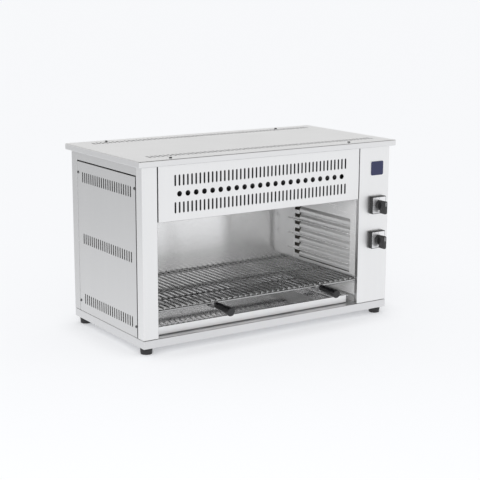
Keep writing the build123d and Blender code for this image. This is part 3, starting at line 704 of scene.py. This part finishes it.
def rear_panel():
    """Rear panel with two rows of slots and the gland's hole."""
    gland_low, gland_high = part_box("cable_gland")
    gland = (gland_low + gland_high) / 2
    piece = block("rear_sheet", REAR_LOW, REAR_HIGH)
    y = REAR_LOW.y
    rows = [slots((0, y, z), (1, 0, 0), (0, 0, 1), REAR_SLOTS, REAR_SLOT_PITCH) for z in REAR_ROWS_Z]
    axis_at = lambda y: (gland.x, y, gland.z)
    hole = rod("gland_punch", axis_at(y - PUNCH), axis_at(y + PUNCH), GLAND_NECK_R, 32)
    punch(piece, *rows, hole)
    return finish_piece(smooth(piece), "rear_steel", "casing", "rear_panel")


# ---- cavity --------------------------------------------------------------------------------------
def liners():
    """Cavity walls: a rail window with notches behind it, a runner groove, and a foot over the tray."""
    x = CAV_RIGHT
    profile = [
        (x, CAV_TOP), (x, GROOVE_HIGH), (x + GROOVE_DEPTH, GROOVE_HIGH), (x + GROOVE_DEPTH, GROOVE_LOW),
        (x, GROOVE_LOW), (x, LINER_FOOT), (x + TRAY_RECESS, LINER_FOOT), (x + TRAY_RECESS, FLOOR),
    ]
    wall = press("wall_right", profile, LINER_FRONT, CAV_BACK, 1.2 * MM)
    window = block("window", (x - PUNCH, RAILS_FRONT, WINDOW_LOW), (x + PUNCH, RAILS_BACK, WINDOW_HIGH))
    round_edges(window, lambda a, b: abs(a.x - b.x) > MM, 3 * MM)
    z = WINDOW_LOW + STEP_H / 2 + 2.5 * MM
    low = (x - PUNCH, RAILS_BACK - 6 * MM, z - NOTCH_H / 2)
    notch = block("notch", low, (x + PUNCH, NOTCH_BACK, z + NOTCH_H / 2))
    round_edges(notch, lambda a, b: abs(a.x - b.x) > MM and a.y > RAILS_BACK, 1.5 * MM)
    repeat(notch, STEPS, (0, 0, STEP_H))
    punch(wall, window, notch)
    seam_low = (x - 1.5 * MM, NOTCH_BACK + MM, GROOVE_HIGH + SHEET)
    seam = block("seam", seam_low, (x, NOTCH_BACK + 4 * MM, WINDOW_HIGH + 8 * MM))
    soften(seam, 0.6 * MM, 3)
    wall = smooth(join("wall_right", wall, seam))
    other = mirrored(wall, "wall_left", CAV_MID)
    finish_piece(wall, "liner_steel", "casing", "liner_right")
    finish_piece(other, "liner_steel", "casing", "liner_left")


def rack_rails():
    """Pressed rails in the liners' windows, with three slide ledges each."""
    x = CAV_RIGHT
    deep, proud = x + 8 * MM, x + 1.5 * MM
    profile = [(deep, WINDOW_HIGH)]
    for step in range(STEPS):
        z = WINDOW_HIGH - step * STEP_H
        if step:
            profile.append((deep, z - 2 * MM))
        profile.append((proud, z - 9.5 * MM))
        profile.append((proud, z - STEP_H + 2.5 * MM))
    profile.append((deep, WINDOW_LOW))
    pressing = smooth(press("rails_right", profile, RAILS_FRONT, RAILS_BACK, 2.0 * MM, 1.5 * MM), 50)
    ledges = []
    ledge_w, ledge_h, ledge_back = 6 * MM, 2.4 * MM, FRONT + 328 * MM
    for step in range(1, STEPS, 2):
        z = WINDOW_HIGH - (step + 1) * STEP_H
        ledge = block("ledge", (x - ledge_w, RAILS_FRONT + 6 * MM, z), (proud, ledge_back, z + ledge_h))
        free_corner = lambda a, b: abs(a.z - b.z) > MM and max(a.x, b.x) < x - ledge_w + MM
        round_edges(ledge, free_corner, 5 * MM)
        ledges.append(soften(ledge, 0.7 * MM, 3))
    ledges = smooth(join("ledges_right", *ledges), 40)
    for piece, node in ((pressing, "rack_rails"), (ledges, "rack_ledges")):
        other = mirrored(piece, piece.name.replace("right", "left"), CAV_MID)
        finish_piece(piece, "rail_steel", "casing", f"{node}_right")
        finish_piece(other, "rail_steel", "casing", f"{node}_left")


def drip_tray():
    """Drip tray: rolled rim, rounded well and a deep front lip."""
    rim = 9 * MM
    lip_inset = 7 * MM
    top = TRAY_HIGH.z
    piece = block("tray_pan", (TRAY_LOW.x, TRAY_LOW.y, top - MM), TRAY_HIGH)
    open_side(piece, (0, 0, -1), (1, 0, 0), (-1, 0, 0), (0, 1, 0), (0, -1, 0))
    pick_faces(piece, lambda centre, normal: True)
    bpy.ops.mesh.inset(thickness=rim)
    bpy.ops.mesh.extrude_region_move(TRANSFORM_OT_translate={"value": (0, 0, TRAY_LOW.z - top)})
    done()
    well_corner, well_floor, rim_roll, rim_drop = 8 * MM, 4 * MM, 1.5 * MM, 4.5 * MM
    in_well = lambda v: TRAY_LOW.x + rim / 2 < v.x < TRAY_HIGH.x - rim / 2
    deep = lambda v: v.z < TRAY_LOW.z + NEAR
    round_edges(piece, lambda a, b: in_well(a) and in_well(b) and upright(a, b), well_corner, 5)
    round_edges(piece, lambda a, b: deep(a) and deep(b), well_floor, 4)
    level = lambda v: v.z > top - NEAR
    mouth = lambda v: level(v) and in_well(v) and TRAY_LOW.y + rim / 2 < v.y < TRAY_HIGH.y - rim / 2
    round_edges(piece, lambda a, b: mouth(a) and mouth(b), rim_roll, 3)
    at_side = lambda v: min(abs(v.x - TRAY_LOW.x), abs(v.x - TRAY_HIGH.x)) < NEAR
    at_back = lambda v: abs(v.y - TRAY_HIGH.y) < NEAR
    side_edge = lambda a, b: at_side(a) and at_side(b) and abs(a.x - b.x) < MM
    pick_edges(piece, lambda a, b: side_edge(a, b) or (at_back(a) and at_back(b)))
    bpy.ops.mesh.extrude_edges_move(TRANSFORM_OT_translate={"value": (0, 0, -rim_drop)})
    done()
    rim_line = lambda v: level(v) and (at_side(v) or at_back(v))
    round_edges(piece, lambda a, b: rim_line(a) and rim_line(b) and not upright(a, b), rim_roll, 3)
    thicken(piece)
    lip_low = Vector((TRAY_LOW.x + MM, TRAY_LOW.y, TRAY_LOW.z + 2 * MM))
    lip = block("tray_lip", lip_low, (TRAY_HIGH.x - lip_inset, TRAY_LOW.y + SHEET, top))
    finish_piece(smooth(soften(lip, 0.5 * MM, 2)), "front_steel", "tray")
    return finish_piece(smooth(piece, 40), "tray_steel", "tray", "drip_tray")


# ---- rack ----------------------------------------------------------------------------------------
def rack():
    """Wire rack: long wires welded on three cross wires."""
    low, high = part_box("rack_long_wires")
    radius = (high.z - low.z) / 2
    z = (high.z + low.z) / 2
    first = low.x + radius
    pitch = (high.x - low.x - 2 * radius) / (LONG_WIRES - 1)
    wire = rod("long_wires", (first, low.y, z), (first, high.y, z), radius, 16)
    soften(wire, 0.8 * MM, 2, 60)
    repeat(wire, LONG_WIRES, (pitch, 0, 0))
    finish_piece(smooth(wire, 40), "rack_wire", "rack", "rack_long_wires")

    low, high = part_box("rack_cross_wires")
    radius = (high.z - low.z) / 2
    z = (high.z + low.z) / 2
    places = {
        low.y + radius: (CAV_LEFT + MM, CAV_RIGHT - MM),
        MIDDLE_WIRE_Y: (low.x, high.x),
        high.y - radius: (low.x, high.x),
    }
    crosses = []
    for y, (x0, x1) in places.items():
        crosses.append(soften(rod("cross", (x0, y, z), (x1, y, z), radius, 24), 1.0 * MM, 2, 60))
    finish_piece(smooth(join("cross_wires", *crosses), 40), "rack_wire", "rack", "rack_cross_wires")


def handles():
    """Tapered black handles, rounded at both ends, with a flat front face inside the rounded rim."""
    tilt = math.radians(2.5)
    rear_r, front_r, length = 8.5 * MM, 11.6 * MM, 69 * MM
    along = Vector((0, -length * math.cos(tilt), -length * math.sin(tilt)))
    axis = along.normalized()
    for side in ("left", "right"):
        low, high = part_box(f"handle_{side}")
        rear_y = low.y + NEAR + length * math.cos(tilt) + front_r * math.sin(tilt)
        rear = Vector(((low.x + high.x) / 2, rear_y, BASE + HANDLE_HEIGHT))
        front = rear + along
        grip = rod(f"grip_{side}", rear, front, rear_r, 48, front_r)
        ahead = lambda v: (v - rear).dot(axis)
        round_edges(grip, lambda a, b: min(ahead(a), ahead(b)) > length - MM, 3.0 * MM, 5)
        round_edges(grip, lambda a, b: max(ahead(a), ahead(b)) < MM, 1.5 * MM, 3)
        finish_piece(smooth(grip, 40), "handle_phenolic", "rack", f"handle_{side}")


# ---- controls ------------------------------------------------------------------------------------
def switch(name):
    """Rotary switch: square housing, dial plate with plain marks, and a bar knob."""
    low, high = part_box(f"switch_bezel_{name}")
    housing = block(f"housing_{name}", low, high)
    round_edges(housing, along_y, 3 * MM, 5)
    round_edges(housing, foremost(low.y), 0.8 * MM, 3)
    finish_piece(smooth(housing), "bezel_plastic", "casing", f"switch_bezel_{name}")

    plate_low, plate_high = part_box(f"face_plate_{name}")
    plate = block(f"dial_{name}", plate_low, plate_high)
    round_edges(plate, along_y, 2 * MM, 4)
    finish_piece(smooth(soften(plate, 0.2 * MM)), "dial_aluminium", "casing", f"face_plate_{name}")

    centre = (plate_low + plate_high) / 2
    face = plate_low.y
    half_l, half_w = 1.6 * MM, 0.4 * MM
    marks = []
    for turn in range(4):
        angle = math.radians(90 * turn)
        here = centre + Vector((math.sin(angle), 0, math.cos(angle))) * MARK_RING_R
        mark_low = (here.x - half_l, face - 0.08 * MM, here.z - half_w)
        mark = block("mark", mark_low, (here.x + half_l, face + 0.02 * MM, here.z + half_w))
        radial = Matrix.Rotation(angle + math.pi / 2, 4, "Y")
        mark.data.transform(Matrix.Translation(here) @ radial @ Matrix.Translation(-here))
        marks.append(mark)
    finish_piece(join(f"dial_marks_{name}", *marks), "bezel_plastic", "casing")

    knob_low, knob_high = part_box(f"knob_{name}")
    disc_front = knob_high.y - KNOB_DISC
    axis_at = lambda y: (centre.x, y, centre.z)
    skirt = rod("skirt", axis_at(knob_high.y), axis_at(disc_front), KNOB_R, 64, KNOB_R - MM)
    round_edges(skirt, foremost(disc_front), 1.6 * MM, 4)
    half_bar = Vector((5.5 * MM, 0, 0))
    bar_low = Vector((centre.x, knob_low.y, knob_low.z))
    grip = block("bar", bar_low - half_bar, Vector((centre.x, disc_front, knob_high.z)) + half_bar)
    round_edges(grip, along_y, 4.5 * MM, 5)
    round_edges(grip, foremost(knob_low.y), 1.5 * MM, 3)
    line = 0.7 * MM
    pointer = block(
        "pointer", (centre.x - line, knob_low.y - 0.05 * MM, centre.z),
        (centre.x + line, knob_low.y + 0.3 * MM, knob_high.z - 3 * MM),
    )
    body = f"{name}_knob"
    finish_piece(smooth(join(f"turn_knob_{name}", skirt, grip), 40), "knob_plastic", body, f"knob_{name}")
    finish_piece(pointer, "dial_aluminium", body)
    pointer.name = f"pointer_{name}"


def badge():
    """Plain enamelled plate with a bright edge."""
    low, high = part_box("badge_plate")
    edge = block("plate_edge", low, high)
    round_edges(edge, along_y, 6 * MM, 6)
    finish_piece(smooth(soften(edge, 0.2 * MM)), "dial_aluminium", "casing", "badge_plate")
    inset = Vector((1.6 * MM, 0, 1.6 * MM))
    face = block("plate_face", low + inset - Vector((0, 0.15 * MM, 0)), high - inset)
    round_edges(face, along_y, 4.6 * MM, 6)
    finish_piece(smooth(face), "badge_enamel", "casing")


# ---- feet and screws -----------------------------------------------------------------------------
def feet():
    """Round moulded feet with a rolled tread and a recess for the screw."""
    for end in ("front", "rear"):
        for side in ("left", "right"):
            low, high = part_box(f"foot_{end}_{side}")
            middle = (low + high) / 2
            foot_low, foot_high = (middle.x, middle.y, low.z), (middle.x, middle.y, high.z)
            foot = rod(f"pad_{end}_{side}", foot_low, foot_high, 14.8 * MM, 48, 16 * MM)
            pick_faces(foot, lambda centre, normal: normal.z < -0.9)
            bpy.ops.mesh.inset(thickness=7.8 * MM)
            bpy.ops.mesh.extrude_region_move(TRANSFORM_OT_translate={"value": (0, 0, 8 * MM)})
            done()
            tread = lambda v: (v.xy - middle.xy).length > 12 * MM and v.z < low.z + NEAR
            round_edges(foot, lambda a, b: tread(a) and tread(b), 1.5 * MM, 3)
            finish_piece(smooth(foot, 40), "foot_rubber", "casing", f"foot_{end}_{side}")


def screw_head(place, out):
    """Pan head with a cross recess, seated on the surface at place and looking out."""
    place, out = Vector(place), Vector(out)
    radius = 4.2 * MM
    head = rod("head", place, place + out * HEAD_H, radius, 24, radius * 0.8)
    at_top = lambda v: (v - place).dot(out) > HEAD_H - NEAR
    round_edges(head, lambda a, b: at_top(a) and at_top(b), 0.9 * MM, 3)
    side = out.orthogonal().normalized()
    other = out.cross(side)
    for first, second in ((side, other), (other, side)):
        reach = first * 2.2 * MM + second * 0.45 * MM + out * 1.2 * MM
        half = Vector(map(abs, reach))
        middle = place + out * HEAD_H
        punch(head, block("driver", middle - half, middle + half))
    return smooth(head)


def screws(name, node, out, lift=0.0):
    """The heads of one group of screws, where the frame has them, or lifted with their sheet."""
    out = Vector(out)
    axis = max(range(3), key=lambda index: abs(out[index]))
    mesh = frame["nodes"][node].data
    reach = max(vertex.co[axis] * out[axis] for vertex in mesh.vertices)
    tips = [vertex.co for vertex in mesh.vertices if vertex.co[axis] * out[axis] > reach - 0.05 * MM]
    groups = []
    for tip in tips:
        near = [group for group in groups if (group[0] - tip).length < 12 * MM]
        if near:
            near[0].append(tip)
        else:
            groups.append([tip])
    heads = []
    for group in groups:
        low = Vector(min(tip[i] for tip in group) for i in range(3))
        high = Vector(max(tip[i] for tip in group) for i in range(3))
        middle = (low + high) / 2
        heads.append(screw_head(middle - out * (HEAD_H - lift), out))
    return finish_piece(join(name, *heads), "dark_screw", "casing", node)


def cable_gland():
    """Domed cable gland with a hexagon nut on the rear panel."""
    low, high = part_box("cable_gland")
    middle = (low + high) / 2
    axis_at = lambda y: (middle.x, y, middle.z)
    nut_back = REAR_HIGH.y + 6 * MM
    nut = rod("nut", axis_at(REAR_HIGH.y), axis_at(nut_back), 15 * MM, 6)
    soften(nut, 0.8 * MM, 2)
    dome = rod("dome", axis_at(nut_back), axis_at(high.y), 10.5 * MM, 32, 9 * MM)
    round_edges(dome, lambda a, b: min(a.y, b.y) > high.y - NEAR, 1.2 * MM, 3)
    inner = rod("inner_nut", axis_at(low.y), axis_at(REAR_LOW.y), GLAND_NECK_R, 32)
    bore = rod("bore", axis_at(low.y - MM), axis_at(high.y + MM), 5.5 * MM, 32)
    gland = join("gland", nut, dome, inner)
    punch(gland, bore)
    return finish_piece(smooth(gland), "black_nylon", "casing", "cable_gland")


# ---- studio --------------------------------------------------------------------------------------
def camera():
    """Camera at the photograph's viewing angle, fitted to the casing's edges."""
    yaw, pitch, roll = (math.radians(angle) for angle in (33.36, 12.01, 0.19))
    body_height = TOP - BASE
    place = Vector((-3.764, -5.385, 1.894)) * body_height + Vector((0, FRONT, BASE))
    ahead = Vector((math.sin(yaw) * math.cos(pitch), math.cos(yaw) * math.cos(pitch), -math.sin(pitch)))
    right = Vector((math.cos(yaw), -math.sin(yaw), 0))
    up = right.cross(ahead)
    tilted_right = right * math.cos(roll) + up * math.sin(roll)
    tilted_up = tilted_right.cross(ahead)
    data = bpy.data.cameras.new("view")
    focal_px, frame_px = 1215.0, 480.0
    data.sensor_width = 36.0
    data.lens = focal_px / frame_px * data.sensor_width
    eye = bpy.data.objects.new("view", data)
    bpy.context.scene.collection.objects.link(eye)
    turn = Matrix((tilted_right, tilted_up, -ahead)).transposed().to_4x4()
    eye.matrix_world = Matrix.Translation(place) @ turn
    bpy.context.scene.camera = eye


def sky(pale):
    """Plain light, a pale backdrop in view, and in metal a bright horizon under a dim ceiling."""
    world = bpy.data.worlds.new("studio")
    bpy.context.scene.world = world
    world.use_nodes = True
    nodes = Nodes(world.node_tree)
    way = nodes.add("ShaderNodeTexCoord", {}, {}, "Generated")
    height = nodes.axis(way, "Z").at_least(0.0)
    left = nodes.reach(way, (-0.92, 0.38, 0.0)).at_least(0.0)
    ceiling = 1.0 - (height - 0.28).at_least(0.0) * 1.7 - height * 0.15 - left * 0.15
    level = 1.0 + nodes.ray("Is Glossy Ray") * (ceiling.at_least(0.12) - 1.0)
    lamp = nodes.add("ShaderNodeBackground", {}, {"Color": (1.0, 1.0, 1.0, 1.0), "Strength": level})
    paper = nodes.add("ShaderNodeBackground", {}, {"Color": pale, "Strength": 1.0})
    shown = nodes.add("ShaderNodeMixShader", {}, {0: nodes.ray("Is Camera Ray"), 1: lamp, 2: paper})
    output = nodes.tree.nodes.new("ShaderNodeOutputWorld")
    nodes.plug(output.inputs[0], shown)


def softbox():
    """A mild lamp at the front left that reaches into the cavity."""
    target = Vector((CAV_MID, FRONT, (CAV_TOP + FLOOR) / 2))
    away = Vector((-1.65, -2.0, 0.75))
    turn = away.to_track_quat("Z", "Y").to_euler()
    deselect()
    bpy.ops.object.light_add(type="AREA", location=target + away, rotation=turn)
    lamp = bpy.context.object
    lamp.data.size = 1.2
    lamp.data.energy = 27.0
    lamp.visible_glossy = False


def paper_floor(pale):
    """Pale paper that keeps the shadow close to the casing; in metal it glows, with painted shade that
    dims it towards the back left.
    """
    deselect()
    bpy.ops.mesh.primitive_plane_add(size=300)
    floor = settle("floor")
    paper = Finish("floor_paper", {"Roughness": 0.9, "Specular IOR Level": 0.1})
    paper.set("Base Color", pale)
    here = paper.add("ShaderNodeTexCoord", {}, {}, "Object")
    in_metal = paper.ray("Is Glossy Ray")
    in_view = paper.ray("Is Camera Ray")
    # Painted shade seen only in metal: the floor's glow dims the farther it lies behind and to the left of
    # the casing.
    behind = paper.reach(here, (-0.55, 0.83, 0.0)).at_least(0.0).at_most(2.6)
    tone = 1.0 - in_metal * behind * 0.13
    glow = paper.add("ShaderNodeEmission", {}, {"Color": pale, "Strength": tone})
    half = (BASE_HIGH - BASE_LOW) / 2
    beside = (paper.axis(here, "X").size() - half.x).at_least(0.0)
    beyond = ((paper.axis(here, "Y") - (FRONT + BACK) / 2).size() - half.y).at_least(0.0)
    near = (1.0 - (beside + beyond) * 12.0).at_least(0.0)
    share = in_view * (0.80 - near * 0.62) + in_metal * 0.85
    plain = Wire(paper, paper.shader.outputs[0])
    mixed = paper.add("ShaderNodeMixShader", {}, {0: share, 1: plain, 2: glow})
    paper.plug(paper.output.inputs[0], mixed)
    floor.data.materials.append(paper.material)


def studio():
    """Backdrop, lamp and floor of a pale studio."""
    bpy.context.scene.view_settings.view_transform = "Standard"
    pale = (0.939, 0.947, 0.965, 1.0)
    sky(pale)
    softbox()
    paper_floor(pale)


# ---- build ---------------------------------------------------------------------------------------
dress_frame()
camera()
studio()
lid()
vent_panel()
front_post()
control_panel()
base_pan()
side_pieces()
rear_panel()
liners()
rack_rails()
drip_tray()
rack()
handles()
switch("upper")
switch("lower")
badge()
feet()
screws("lid_heads", "lid_screws", (0, 0, 1))
screws("left_heads", "side_screws_left", (-1, 0, 0), 1.2 * MM)
screws("right_heads", "side_screws_right", (1, 0, 0), 1.2 * MM)
screws("rear_heads", "rear_screws", (0, 1, 0))
cable_gland()
